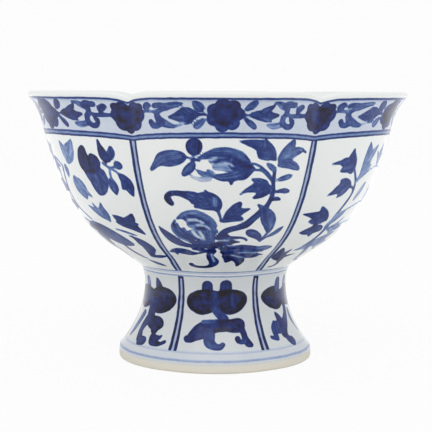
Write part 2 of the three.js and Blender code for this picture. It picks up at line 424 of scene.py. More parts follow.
# %% Strokes of the front spray
FRONT_SPRAY = [
    # leaf and bud at the upper left
    (.68, (-14.3, 62.4, .5), (-15.8, 62.2, 1.9), (-18.4, 61.9, 3), (-21, 61.7, 3.1), (-23.6, 61.3, 2.5),
     (-25.5, 59.8, 1.6), (-27.8, 57.4, .8)),
    (.85, (-11.1, 67.4, 2.1), (-11.2, 66.2, 3), (-11.3, 64.8, 1.9), (-11.4, 63.8, .5), (-11.4, 62.4, .4)),
    (.72, (-11.4, 60.7, .5), (-12, 59, 1.6), (-13.2, 57.5, 1.7), (-14.7, 56, 1)),
    (.8, (-14.5, 62.4, .4), (-11.5, 61.6, .5), (-9.2, 61.2, .6)),
    # upper fruit
    (.62, (-9.5, 61.8, .5), (-6.5, 63, 1.4), (-3, 64, 1.9), (1, 63.8, 2.2), (4.5, 62.6, 2.2),
     (7.3, 60.6, 1.6)),
    (.55, (-5, 61, 1), (-2, 62, 1.4), (1.5, 61, 2), (4.5, 60, 2)),
    (.38, (-3.5, 58.8, 1.2), (0, 58.6, 1.6), (2.5, 57.6, 1.4)),
    (.8, (2.5, 59.5, 1.3), (5, 58.8, 2.2), (7.5, 58, 2.2), (9.8, 57.9, .9)),
    (.8, (8.5, 57.5, 1.6), (6.3, 55.8, 2), (4, 55.6, 1.9), (2.3, 54, 1.1), (2.1, 52.2, .4)),
    (.68, (-3.6, 55.2, .8), (-1.2, 54.9, 1.5), (1.5, 55.2, 1.8), (4, 56, 1.8)),
    (.6, (-10, 57.6, .4), (-8.8, 56.6, .9), (-6.5, 55.7, 1), (-4.5, 55.4, .8)),
    (.25, (-12, 55, .5), (-8.5, 54, .9), (-5.5, 54.2, .9)),
    (.5, (-6, 57.3, .7), (-5, 56.3, 1.1)),
    (.82, (-6.5, 62.4, .3), (-2.5, 63.2, .35), (1.5, 62.6, .4), (5, 61, .3)),
    (.8, (-3.6, 60.8, .3), (-.5, 61.4, .4), (3, 60.2, .3)),
    (.85, (3, 60.8, .5), (5.6, 59.8, .7), (7.6, 59.6, .4)),
    (.28, (-2.6, 60, .35), (.6, 60.1, .4), (2.6, 59.2, .3)),
    (.2, (-5.6, 61.6, .3), (-3.4, 62, .3)),
    (.65, (8, 60.4, .4), (11.5, 59.4, .5), (14.5, 57.3, .5), (16.6, 54.6, .6)),
    (.65, (9.6, 57.6, .4), (13, 57.3, .5), (15.6, 55.2, .5), (17.3, 53.2, .5)),
    # branch
    (.82, (18.3, 57.9, .6), (18.1, 54.9, .7), (17.9, 51.9, .8), (18.1, 48.8, .8), (17.2, 45.6, .9),
     (15.4, 42.4, 1.1), (13, 39.8, 1.3), (10.3, 37, 1.4), (8.2, 34.8, 1.5), (5.3, 33.5, 1.4),
     (2.1, 32.4, 1.4),
     (.1, 30.8, 1.3), (-1.6, 28, 1.2)),
    # leaves at the upper right
    (.72, (4.4, 68.2, .3), (8, 67.7, 1.2), (11.5, 66.8, 2), (14, 65.5, 2.9), (16.2, 63.6, 2.4),
     (18.4, 61.2, .4)),
    (.72, (14.5, 66.5, 1.8), (14.2, 69, .4)),
    (.72, (12.6, 64.3, 1.8), (12.5, 62.8, 1.2)),
    (.72, (15, 63, 2.1), (13, 62.9, 1.5)),
    (.62, (20, 60, .6), (21.5, 62.3, 2), (23.8, 64.8, 2.1), (25.6, 67, 1.4), (26.3, 68.7, .4)),
    (.55, (21.3, 61.8, 1.2), (24.8, 63.2, 2), (28, 64.3, 1.6), (30.5, 64.6, .8)),
    (.85, (31.3, 64.3, .5), (32.5, 63.7, .5)),
    (.62, (19.8, 59.2, .6), (22.5, 59.6, 1.6), (25.8, 59, 1.7), (28.3, 58, 1.2), (29.4, 57.4, .4)),
    # buds along the branch
    (.6, (15.2, 59.6, .6), (16.6, 58.7, 1.1), (18, 57.5, .9)),
    (.58, (19.3, 53.3, .4), (21.5, 53.9, 1), (24.5, 54.6, 1.1), (26.2, 55, .4)),
    (.75, (18.6, 48.6, .4), (21, 49, .8), (23.2, 49, 1.1), (25, 48.8, .6)),
    (.9, (17.8, 45.6, .6), (19.8, 45.9, .9), (21.3, 45.6, .5)),
    # middle leaf
    (.68, (16.8, 48.6, .5), (15.4, 50.2, 2), (12.6, 51, 2.2), (9.5, 50.2, 1.4), (7.3, 49.4, .8),
     (5.5, 48.1, .4)),
    (.7, (14.3, 52, 1.7), (12, 53.2, 1.3), (9.7, 54, .5)),
    (.78, (14.8, 49, 1.7), (12.7, 47.7, 1.3), (10.6, 46.6, .6)),
    # curled leaf
    (.72, (-2.2, 41, .5), (-3.2, 43.8, 2.4), (-5.2, 45, 3.6), (-7.2, 45.6, 3.6), (-9.6, 46, 2.7),
     (-12, 47.2, 2),
     (-15, 48, 1.3), (-18, 48.3, 1.1), (-20.4, 47.8, 1.2), (-21.2, 46.4, 1.2), (-20.2, 44.8, 1.1),
     (-19.3, 44, .9)),
    (.72, (-6.5, 48, 1.2), (-7, 49.7, .4)),
    (.93, (-20.6, 47.7, 1), (-21.3, 46.4, 1.4), (-20.4, 44.9, 1.3), (-19.4, 43.8, .9)),
    (.9, (-17.5, 48.4, .6), (-14.6, 48.3, .5)),
    (.74, (-10.2, 45, .8), (-12, 44, .3)),
    (.74, (-8.8, 44.1, .8), (-10.6, 43.2, .3)),
    (.7, (-6.5, 43.5, 2), (-9, 43.2, 1), (-10.4, 42.8, .5)),
    (.45, (-3.6, 46.5, .5), (-3.2, 43.5, .5)),
    (.7, (-1.9, 40.4, .6), (-1.2, 38.2, .5), (-1, 36.5, .5)),
    # small leaf
    (.75, (0, 36.6, .7), (1.8, 39.5, 1.7), (3.8, 42, 1.8), (5.5, 44.2, 1)),
    (.72, (.5, 37, 1), (3.8, 39.5, 2), (6.3, 41, 1.3), (9, 42, .4)),
    (.75, (0, 36.8, 1), (3, 37.6, 1.4), (6.2, 37.6, .9)),
    # lower fruit
    (.42, (-15.5, 30, 1.6), (-12.5, 29.5, 2.2), (-9, 30, 3.2), (-6, 31.5, 3)),
    (.45, (-11, 35.5, 2.6), (-7.5, 34.5, 3.2), (-5, 31.5, 2.8), (-6.5, 28, 2.6)),
    (.55, (-17, 37.5, .7), (-14.5, 39.3, 1.4), (-11.5, 39.9, 1.6), (-8, 38.9, 1.7), (-5, 36.8, 1.5),
     (-3.3, 34.3, 1.2)),
    (.62, (-14, 37.3, .9), (-11, 38, 1.1), (-8, 36.8, 1.4), (-5.5, 34.5, 1.4), (-3, 31.5, 1.2)),
    (.55, (-18.2, 36.5, .5), (-19, 33.5, .9), (-18, 30.5, 1), (-15.5, 28, 1.1), (-12, 26, 1.1),
     (-9, 25, .9)),
    (.65, (-17.3, 34.5, .6), (-16.5, 31.8, 1), (-13.5, 29.3, 1.1), (-10, 27.6, 1.1)),
    (.85, (-9.4, 33.2, .6), (-7.8, 33.4, .8), (-6.2, 32.8, .6)),
    (.6, (-14.6, 32.6, .7), (-14, 31, .7)),
    (.7, (-12.5, 31.3, .5), (-11, 28.6, .9), (-9, 27, .8)),
    (.6, (-9.6, 30.8, .5), (-8.3, 28.5, .8), (-7.4, 26.5, .8)),
    (.68, (-7, 31.5, .7), (-6.2, 29, 1), (-6, 26.5, 1)),
    (.6, (-4.5, 31.8, .8), (-3.9, 29, 1.1), (-4, 26, 1.2)),
    (.12, (-11.2, 31.4, .45), (-9.8, 29.2, .5), (-8.2, 27.6, .4)),
    (.12, (-8.4, 31, .35), (-7.3, 28.8, .4), (-6.8, 27, .3)),
    (.72, (-11, 25.2, 1), (-8, 24.4, 1.6), (-5, 24.6, 1.5)),
    (.82, (-18.6, 35.2, .3), (-18.2, 32, .35), (-16, 29.2, .4), (-12.6, 27, .4), (-9.4, 25.8, .35)),
    (.78, (-16, 32.8, .3), (-14.2, 30.4, .35), (-11.4, 28.4, .4), (-8.6, 26.8, .3)),
    (.8, (-15.4, 37.2, .3), (-12, 38.5, .4), (-8.6, 37.6, .35), (-6, 35.6, .3)),
    (.78, (-12.4, 35.4, .3), (-9, 35.6, .4), (-6, 33.6, .3)),
    (.15, (-13, 36.9, .3), (-10, 37, .35), (-7.4, 35.8, .3)),
    (.2, (-9.6, 34.6, .3), (-7, 34.4, .35), (-5, 32.8, .3)),
    # leaves under the lower fruit
    (.8, (-25.4, 32.8, .4), (-23, 30, 1.4), (-20, 27.3, 2), (-17, 24.9, 1.9), (-14, 23.3, 1.4),
     (-10, 22.5, 1),
     (-6, 22.1, .9)),
    (.78, (-21, 17, .4), (-18.8, 18.3, 1.5), (-16.4, 18.7, 2), (-13.6, 18.2, 2), (-11.2, 17.4, 1.5),
     (-8.6, 17.6, .8), (-6, 18.8, .7)),
    (.78, (-17.8, 17.8, 1), (-17.2, 15.7, .4)),
    (.78, (-10.6, 20.6, .7), (-8, 20.2, 1), (-5.4, 19.4, 1.2)),
    # end of the stem and its dark heart
    (.86, (-3.4, 19.4, 1.6), (-4.2, 16.6, 1.4), (-3.6, 14, 1.7), (-2.6, 11.4, 1.9), (-2.6, 8.6, 1.6),
     (-4.4, 6.4, 1.1), (-7.8, 5.9, .9), (-10, 6.6, .9), (-11.2, 8.1, 1)),
    (.84, (-4, 21.6, 1.4), (-1.8, 23.8, 1.7), (1.2, 25.4, 1.4), (4, 25.7, .9), (6, 25.4, .5)),
    (.9, (-2.4, 22.4, 1.1), (.4, 23.8, 1), (3, 24.8, .8), (5.4, 25.6, .5)),
    (.72, (.6, 27.2, .9), (1.8, 26, 1.2), (1.2, 24, 1.2)),
    (.84, (-1.2, 27.8, 1), (.6, 29, 1.3), (1.8, 28.3, 1.1)),
    (.8, (1.6, 28.2, 1), (4.1, 28.1, .8), (6.8, 28, .6), (8.4, 27.2, .5), (8.9, 26.3, .45)),
    # dark leaf at the right of the stem
    (.86, (-.5, 21, .8), (1.6, 21.2, 1.5), (4.5, 21.4, 2), (8, 21.6, 2), (11.5, 21.1, 1.7),
     (14.8, 20.5, 1.1)),
    (.6, (14.4, 20.6, 1.5), (17.2, 20.6, 1.8), (20.2, 21, .8)),
    (.84, (2, 19, 2.6), (4.5, 17.5, 3.4), (7.3, 17, 3.2), (9.6, 17.4, 2), (12.2, 17.5, .7)),
    (.88, (2.4, 15.5, 2.2), (2.8, 13, 1.8), (2.1, 10.6, .7)),
    (.9, (5, 14.5, 2.6), (6.8, 12.2, 2.4), (7, 9.4, 1.4), (6.4, 6.7, .4)),
    (.84, (8.4, 15.4, 1.8), (11.8, 14.4, 1.1), (14.8, 14.6, .4)),
    (.82, (9, 17.6, 1.6), (13, 16.4, 1.1), (16.9, 15.4, .4)),
    (.7, (9, 19.6, 1.4), (13, 19, 1.1), (16.6, 18.4, .5)),
    (.6, (3.4, 20.3, .4), (7.5, 19.9, .45), (11.5, 19.6, .35)),
    (.4, (3.6, 16.6, .35), (6.6, 14.8, .45), (8.8, 13.9, .3)),
    (.3, (6.2, 18.2, .3), (9.6, 17.9, .35), (13.4, 17.3, .3)),
    (.25, (2.2, 23.2, .3), (4.6, 23.2, .3)),
    (.25, (-1.6, 26.2, .3), (.2, 26.6, .35), (2.2, 26.8, .3)),
    (.3, (-3.6, 17.4, .25), (-3.1, 14.4, .3), (-2.4, 11.2, .3)),
    # leaves at the right
    (.65, (12.3, 43.8, .4), (14.3, 42, 1.2), (17, 39.3, 2.1), (18.2, 36.3, 2.3), (18, 33, 1.8),
     (17.6, 30.5, .6)),
    (.72, (14.6, 41, 1), (15, 37, 1.3), (16.3, 33.5, 1.1), (17, 30.8, .5)),
    (.65, (17.4, 30.4, .5), (16, 28, .5), (14.5, 25.5, .5)),
    (.75, (9, 31.4, .6), (10.5, 30.4, 2), (12.5, 29, 1.9), (13.8, 27.2, 1.1), (14.2, 25.6, .4)),
    (.6, (14.5, 25.6, .4), (17.2, 27.6, .4), (19.6, 29, 1), (22.5, 31, 1.1), (24.6, 32.6, .4)),
]
print(f"front spray of {len(FRONT_SPRAY)} strokes")

# %% [markdown]
# ## The sprays on the lobes to the left and right
# Each of these lobes shows only one side in a view from the front. Their hidden halves carry
# leaves of the same kinds, and the three lobes behind repeat the three in front.


# %% Leaf with three points
STALK = 0.35
LEAF_POINT = 0.3
WIDEST_AT = 0.42
SPIKE_FROM = 0.25
SPIKE_TO = 0.62
SPIKE_ASIDE = 0.5
SPIKE_WIDTH = 0.6


def trefoil(strength, root, tip, width):
    """A leaf from root to tip with a point at each side, as three strokes."""
    root, tip = np.array(root, float), np.array(tip, float)
    way = tip - root
    side = np.array([-way[1], way[0]])
    middle = root + way * WIDEST_AT
    strokes = [(strength, (*root, STALK), (*middle, width), (*tip, LEAF_POINT))]
    for turn in (1, -1):
        start = root + way * SPIKE_FROM
        spike = root + way * SPIKE_TO + side * turn * SPIKE_ASIDE
        strokes.append((strength, (*start, SPIKE_WIDTH * width), (*spike, LEAF_POINT)))
    return strokes


# %% Strokes of the left spray
LEFT_SPRAY = [
    # upper leaves
    (.72, (16.8, 55.4, 3.6), (17, 53, 4.1), (16.6, 50.4, 3.6), (15.8, 48.2, 2.4), (15, 46.6, .9)),
    (.74, (19.8, 55.2, 1.7), (20.2, 51.8, 1.5)),
    (.7, (12.8, 55.6, 1.3), (13.4, 52.8, 1.1)),
    (.9, (17.8, 61, 1.7), (18.2, 59.6, 2.5), (17.2, 58.2, 2.6), (15.4, 57.4, 2.3)),
    (.93, (14.3, 64.3, 1.3), (13.6, 62.6, 2.2), (13.2, 60, 2.8), (13, 57.8, 2.6), (13.4, 56.6, 1.6)),
    (.88, (22.4, 67.8, .4), (22.6, 65.6, 1), (23, 63.4, 1.7), (23.4, 61.4, 1.7), (23, 59.6, .7)),
    (.74, (27, 64.8, .9), (26.6, 63.2, 1.5), (25.4, 61.8, 1.6), (24, 60.6, 1)),
    (.84, (21.8, 62.4, .6), (22.8, 61.2, 1.3), (24.2, 61, 1.6)),
    (.72, (27.8, 58.3, 1.7)),
    (.6, (21.8, 58.9, .5), (24, 57.3, .5), (26.6, 57.6, .5)),
    (.74, (27, 54.8, .6), (28.2, 53, 1.8), (28.8, 51, 2.2), (28.8, 48.8, 1.6), (28.9, 46.4, .5)),
    (.74, (27.6, 51, 1.4), (26.3, 49, .5)),
    (.7, (23.2, 53, .6), (22.9, 51.2, 1.5), (22.7, 49.6, 1.9), (22.5, 47.8, 1.1), (22.4, 46.4, .4)),
    (.5, (24, 57.3, .5), (23.4, 55, .5), (23.2, 53, .5)),
    (.5, (24, 57.3, .5), (26.6, 55.4, .5)),
    (.47, (4.4, 53, .6), (4.8, 51, 2.2), (5.8, 48.8, 3.4), (6.2, 46.6, 2.4), (6.4, 44, .5)),
    (.5, (7, 48.6, 1), (8.7, 46.6, .9), (10.1, 44.9, .3)),
    (.43, (9.2, 67.2, .6), (7.6, 64.8, 2), (5.2, 62, 3.2), (3.6, 59.2, 1.4)),
    (.43, (1.4, 66.6, .5), (2.4, 64.4, 1.4), (3.4, 62, 2.2)),
    (.5, (.4, 57, .9), (.5, 55, 1.4), (.2, 52.8, .5)),
    # lower leaves
    (.55, (12.9, 42.4, .4), (12.2, 40, 1.2), (11.6, 37.4, 2.2), (12, 34.3, .7)),
    (.5, (5, 40.9, .3), (7.6, 38.9, 1.3), (10, 37, 1.8), (11.7, 35, .9)),
    (.5, (8.4, 42, .3), (9.2, 39.6, 1), (10.4, 37.4, 1.3)),
    (.7, (0, 32.2, .8), (2.8, 29.8, 3), (5, 26.8, 4.6), (8, 24, 4.4), (11, 22, 2.2)),
    (.62, (1, 27, 3), (-2, 24, 3.2), (-2, 21, 2)),
    (.8, (7.2, 20.6, .5), (7, 16.6, .8), (7.6, 12.8, .9), (9, 9.8, .5)),
    (.82, (15.6, 37, .4), (17.2, 35.4, 1.8), (19.4, 33.5, 2.5), (21.4, 31.2, 2), (23, 28.2, .5)),
    (.8, (20.2, 34.2, 2), (22.6, 36, 1.5), (24.2, 38, .5)),
    (.78, (15, 33.8, .4), (17.2, 33, 1.4), (20, 31.6, 1.4)),
    (.8, (21.5, 33.4, 1.5), (23.6, 33.4, .5)),
    (.55, (12, 30, .4), (15.2, 28.9, .7), (18.8, 27.1, .4)),
    (.78, (15.5, 26.6, .3), (17.2, 24.9, 1.2), (18, 22.3, 2.3), (17.8, 19.4, 2.3), (16, 16.2, 1.5),
     (13.6, 12.8, .7)),
    (.8, (13.2, 12.2, .6), (15.2, 12.5, 1.1), (17.6, 12.8, 1), (19.8, 13.2, .4)),
    (.8, (9.2, 8.2, .8), (10.5, 6.8, 1.3), (11.8, 5.8, 1.1), (13, 5, .4)),
    # the half that is turned away
    (.6, (-2, 57, .4), (-6, 59.5, .5), (-10, 60, .5), (-18, 57, .4)),
    (.6, (1, 34, .5), (-4, 40, .6), (-5, 47, .6), (-2, 57, .5)),
    *trefoil(.65, (-10, 60), (-14, 67), 2.2),
    *trefoil(.6, (-18, 57), (-26, 61), 2.2),
    *trefoil(.75, (-5, 47), (-13, 51), 2.4),
    *trefoil(.7, (-4, 40), (-12, 41), 2.2),
    *trefoil(.55, (-9, 60), (-7, 53), 1.8),
    *trefoil(.8, (2, 30), (-8, 29), 2.3),
    *trefoil(.6, (-13, 37), (-21, 40), 1.8),
    (.5, (-13, 37, .35), (-9, 34, .4), (1, 32, .4)),
    (.85, (3, 29, 1.2), (-2, 22, 1), (-1, 15, .9), (-4, 8, .7), (-8, 7, .5)),
    *trefoil(.9, (0, 20), (-9, 19), 2.2),
]
print(f"left spray of {len(LEFT_SPRAY)} strokes")

# %% Strokes of the right spray
RIGHT_SPRAY = [
    # upper leaves
    (.72, (-15, 55.8, 1.2), (-16.3, 58, 2.6), (-17, 60.5, 2.2), (-17.3, 62.5, 1.2), (-17.3, 64.3, .4)),
    (.72, (-16.5, 58, 2), (-19.5, 59.3, 2), (-22, 59.4, 1), (-25.8, 58.8, .35)),
    (.68, (-16, 57.4, 2), (-18.5, 56.8, 1.5), (-20.3, 56.2, .7)),
    (.65, (-14.3, 57.3, .4), (-12.2, 54.3, .5), (-10.2, 51.5, .6), (-8.8, 46.5, .6), (-10, 41, .7),
     (-11.2, 36.5, .7), (-11, 31, .8), (-11, 25, .9), (-12, 20, .9)),
    (.47, (-8.6, 66.6, .4), (-8, 63.8, 1.8), (-7, 60.6, 3), (-7.6, 57, 2), (-8.6, 53.9, .9),
     (-9.8, 51.6, .5)),
    (.42, (-1.9, 65.6, .3), (-3.6, 63.6, 1.3), (-5.6, 61, 2)),
    (.38, (-8.4, 52.6, .6), (-5.6, 55.8, 1.7), (-3.2, 57.6, .6)),
    (.7, (-12.2, 49.2, .5), (-14.2, 50.4, 1.7), (-16.4, 51.4, 1.7), (-18, 52, .9)),
    (.72, (-13.2, 49.4, 1.2), (-15.5, 49.8, 2.5), (-17.8, 48.6, 2), (-20, 47.1, 1), (-21.7, 46.1, .4)),
    (.68, (-14, 48.8, 1.8), (-15.3, 47, 1.6), (-16.7, 45.2, .5)),
    (.7, (-12, 49.4, .5), (-10, 48.6, .5), (-9, 47.5, .5)),
    # middle leaves
    (.78, (-14.6, 34.6, .5), (-16.6, 36.3, 1.6), (-18.8, 38.5, 1.6), (-21, 41, .5)),
    (.78, (-15.8, 35.6, 1.4), (-19, 36.8, 2.3), (-23, 37.6, 1.3), (-27.2, 38.1, .35)),
    (.74, (-16, 35, 1.5), (-19, 34.5, 1.8), (-22.3, 34.6, .6)),
    (.78, (-22.2, 28.8, .3), (-19.6, 29.3, 1.8), (-17.2, 30, 2.5), (-15, 30.1, 1.9), (-13.4, 29.6, .7)),
    (.78, (-18.8, 33, .4), (-17.8, 31.2, 1.7)),
    (.76, (-16, 26.3, .3), (-17, 28.6, 1.4)),
    (.46, (-12.4, 30.8, .4), (-11, 33.4, 1.5), (-8.8, 36.2, 1.8), (-6.6, 38.8, .5)),
    (.34, (-2, 50, .8), (-3.5, 46.5, 1.6), (-5, 43.5, .8)),
    (.45, (-13.4, 17, .6), (-10, 19.4, 2.2), (-7, 22.6, 2.8), (-3.8, 25.6, 1.6), (-2, 27.6, .5)),
    # dark leaf at the foot
    (.88, (-18.2, 12.6, 1.4), (-16.8, 12.2, 2), (-15, 11.2, 2), (-13.6, 9.8, 1.2), (-12.4, 8, .6)),
    (.86, (-18, 13.5, 1.8), (-19.5, 16.5, 1.2), (-20.8, 19, .4)),
    (.88, (-16.2, 13.5, 1.6), (-16, 16, .8), (-16, 17.8, .3)),
    (.88, (-14.5, 11.8, 1.6), (-12.5, 12.8, .9), (-10.5, 13.8, .3)),
    (.85, (-13.4, 9.4, .8), (-12.2, 7.2, .7), (-11.6, 5.3, .7), (-12.6, 4.1, .6), (-13.9, 3.7, .4)),
    # the half that is turned away
    (.42, (-9.8, 50.5, .4), (-4, 55, .4), (3, 57, .4), (10, 56, .4)),
    (.42, (-11.2, 36.5, .5), (-4, 40, .5), (4, 42, .5), (11, 40, .4)),
    *trefoil(.42, (3, 57), (4, 66), 2.3),
    *trefoil(.6, (10, 56), (19, 59), 2.4),
    *trefoil(.48, (4, 42), (10, 49), 2.3),
    *trefoil(.75, (11, 40), (20, 38), 2.2),
    *trefoil(.42, (-10, 30), (0, 30), 2.2),
    *trefoil(.48, (2, 33), (12, 31), 2),
    (.5, (-10, 30, .5), (2, 33, .4)),
    *trefoil(.5, (-8, 20), (2, 21), 2.3),
    (.6, (-11, 22, .9), (-6, 14, 1), (-3, 8, .7), (2, 7, .5)),
]
print(f"right spray of {len(RIGHT_SPRAY)} strokes")

# %% [markdown]
# ## The border under the lip
# A band of scrolling flowers runs under the lip between lines. A flower sits in the middle of each
# lobe and another on each crease, with leafy scrolls between them. The brush was fuller on some
# lobes than on others, so the scrolls of each lobe have a strength of their own.


# %% Strokes of the border
def round_flower(strength, middle, heart, petals, petal_radius, petal_reach):
    """A disc with a ring of round petals, and a darker disc over its middle."""
    strokes = [(strength, (*middle, petal_reach))]
    for turn in np.arange(petals) * math.tau / petals:
        across = middle[0] + petal_reach * math.cos(turn)
        up = middle[1] + petal_reach * math.sin(turn)
        strokes.append((strength, (across, up, petal_radius)))
    strokes.append((heart, (*middle, petal_reach)))
    return strokes


BORDER_SCROLLS = [
    # left half
    (.7, (-8.6, 79.7, .7), (-9.5, 80.8, 1.8), (-10.5, 82, 1.6), (-11.5, 83, .7)),
    (.56, (-8, 75.9, .7), (-9, 74.8, 1.3), (-10.2, 73.8, 1.4)),
    (.74, (-7.4, 78, .6), (-10, 77.8, .8), (-12.5, 77.7, 2.2), (-14.8, 77.4, 2.9), (-17.5, 77, 1.7),
     (-20.6, 76.7, .4)),
    (.76, (-13.5, 78.8, 2), (-15.4, 80, .9)),
    (.72, (-13, 75.8, 1.5), (-14.5, 74.8, .8)),
    (.35, (-18.7, 73.4, .6), (-16.6, 73.9, .6), (-15, 74.5, .5)),
    (.62, (-26.6, 81.4, 1.3), (-24.6, 81.5, 1.4), (-22.4, 80.9, 1.8), (-20, 81.5, 1.5), (-17.6, 82, 1.2),
     (-15.8, 82.3, .6)),
    (.74, (-26, 81.6, 1.2)),
    (.68, (-22.8, 80.2, 1.2), (-24.8, 79, 1.1), (-25.4, 77.6, 1.2), (-24.6, 76, 1.4), (-23, 74.8, 1.5),
     (-20.8, 73.9, 1.2), (-18.7, 73.4, .8)),
    (.84, (-27.8, 75, 1.1), (-27.2, 73.9, 1)),
    (.7, (-26.8, 73.5, 1), (-25.2, 73.6, 1.2), (-23.6, 74.4, 1.2)),
    (.72, (-30.1, 81.3, 1.8)),
    (.62, (-29.9, 80.4, .8), (-29.3, 79.2, .6)),
    (.62, (-31.6, 79, .5), (-28.8, 79, .6), (-26, 78.8, .7)),
    # right half
    (.68, (6.8, 80, .8), (8.2, 81.2, 1.4), (9.6, 82.6, 1.3), (10.2, 83.4, .7)),
    (.7, (6.6, 76, .6), (8, 74.8, 1.1), (9.7, 73.3, 1)),
    (.6, (4.5, 77.7, 1.3), (6, 77.7, .9), (7, 77.6, .5)),
    (.75, (7.8, 77.6, .5), (10.5, 77.7, 1.6), (13.2, 77.5, 2.3), (15.5, 77.4, 1.6), (18.6, 77.6, .6)),
    (.75, (13.5, 79, 1.5), (15.8, 80.6, 1), (17.2, 81.7, .4)),
    (.7, (13.5, 76.3, 1.4), (15.5, 75.4, .6)),
    (.45, (14.6, 73.9, .6), (16.6, 73.5, 1.2), (19, 73.8, 1.1), (20.2, 74.5, .6)),
    (.6, (17.2, 82.7, .6), (18.8, 82.4, 1), (20.4, 81.4, 1.6), (22.2, 80.4, 1.4)),
    (.66, (21.6, 81.3, 1.3), (23.4, 82, 1.6), (25.2, 81.8, 1.3), (26.2, 82.5, .7)),
    (.68, (22.6, 80, 1.1), (22, 78.2, 1), (20.8, 76.6, 1.1), (20.5, 74.8, 1.1), (22, 73.3, 1.1),
     (23.9, 73.4, 1),
     (24.7, 75, 1), (23.7, 75.9, .7)),
    (.66, (22.2, 78, .7), (24.4, 77.3, .8), (27.5, 77.3, .9), (31, 77.4, .8)),
    (.7, (26.9, 78.3, .7), (27.6, 79.8, 1.4), (29.4, 81.1, 1.2)),
]
BORDER_FLOWERS = [
    *round_flower(.81, (-.6, 78.1), .87, 7, 2.6, 4.2),
    *round_flower(.85, (-37.7, 77.3), .92, 8, 2.6, 4.3),
    *round_flower(.85, (37.5, 77.3), .92, 8, 2.6, 4.3),
]
print(f"border of {len(BORDER_SCROLLS)} scroll strokes and {len(BORDER_FLOWERS)} of flowers")

# %% [markdown]
# ## The stem's cloud scrolls
# Each side of the stem has a hanging scroll with a dark head like a lobed cloud and curling
# tendrils under it.

# %% Strokes of the stem
STEM_FRONT = [
    (.85, (-4.45, 34.6, 2.1), (-4.45, 32.5, 2.15)),
    (.85, (2.7, 34.7, 2.35), (2.6, 32.6, 2.45)),
    (1, (-8.8, 28.3, 3.9), (-6.3, 28.3, 4.8), (-3.5, 28.6, 4.2), (-.5, 29, 3.7), (2.5, 28.4, 4.6),
     (5.2, 28.4, 4.7), (8, 29.1, 3.3), (9.6, 28.9, 1.6)),
    (.84, (-1.8, 31.5, 1.4), (-1.2, 28, 1.5), (-.5, 25, 1.4)),
    (.86, (-6, 31, .8), (-5.6, 28, 1)),
    (.84, (5.5, 31, .9), (5.6, 27.5, 1.2)),
    (.72, (-1.6, 25.5, 1.4), (0, 23.6, 1.5), (1.8, 22, 1.8), (1.6, 20.5, 2.2)),
    (.88, (1.5, 19.3, 2.4), (-1.5, 19.3, 2.6), (-4.5, 18.5, 3.1), (-7.3, 17, 3), (-9.5, 15.5, 2.3),
     (-11.3, 14.2, 1.7), (-12.6, 13.8, 1.4)),
    (.72, (-3.8, 15.5, 2.2), (-3.8, 12.8, 2.1), (-2, 11.3, 1.6), (0, 11, 1.3), (1.3, 12, 1)),
    (.92, (2.5, 19.5, 2.2), (5, 19.2, 2.6), (7.3, 19.3, 2.8), (8.3, 19, 1.6)),
    (.9, (8.7, 18.5, 1.2), (9.6, 16, 1.2), (10.3, 13.8, 1.3), (11.5, 11.9, 1.4), (12.7, 11.2, .9)),
    (.8, (10, 13, 1), (8.6, 12.7, .9), (7.4, 13.2, 1)),
    (.95, (7.1, 14.1, 1.1)),
    (.6, (-6, 20.8, .8), (-2, 21.2, .7)),
]
STEM_LEFT = [
    (.88, (3.4, 35.3, 1), (3.9, 33.5, 1.7), (4.3, 31.5, 2.1)),
    (.97, (1.2, 28, 2.2), (3.3, 27.6, 4.6), (5.8, 27.6, 5.2), (8.5, 28, 4.4), (11, 28, 2.1)),
    (.86, (7.2, 28.5, 1.2)),
    (.6, (-3.6, 34.8, 1.6), (-3.6, 32.3, 1.9)),
    (.9, (-1.5, 28.5, 3.4), (-4.5, 28, 4.4), (-7.5, 27.8, 4.4), (-10, 27.8, 2.6)),
    (.7, (1.3, 26, 2.2), (1.2, 21, 2)),
    (.82, (-.3, 26, 1), (-.3, 21.5, .9)),
    (.87, (2.6, 25, 1.3), (2.4, 21, 1.2)),
    (.93, (1.5, 19.3, 2), (4, 18.6, 2.7), (6.5, 18.3, 2.9), (8.3, 18, 1.7)),
    (.93, (6.2, 16.5, 2.3), (6.6, 14.8, 1)),
    (.92, (6.8, 14.6, .9), (6.7, 12.8, 1.3), (7.8, 11.2, 1.6), (10, 10.6, 1.3), (12, 10.6, .9),
     (13.6, 11.6, .8)),
    (.9, (8.2, 12.5, 1.5), (10.2, 13, 1), (11, 13.8, .6)),
    (.8, (0, 19, 2), (-1.5, 16.5, 1.8), (-2, 14, 1.6), (-1, 11.5, 1.8)),
    (.85, (.5, 10.3, 2), (2.5, 10.5, 1.9)),
    (.6, (-4, 21.3, 1.3), (-6.5, 17.5, 1.5), (-8.5, 14.5, 1.6), (-10.5, 11.5, 1.2)),
]
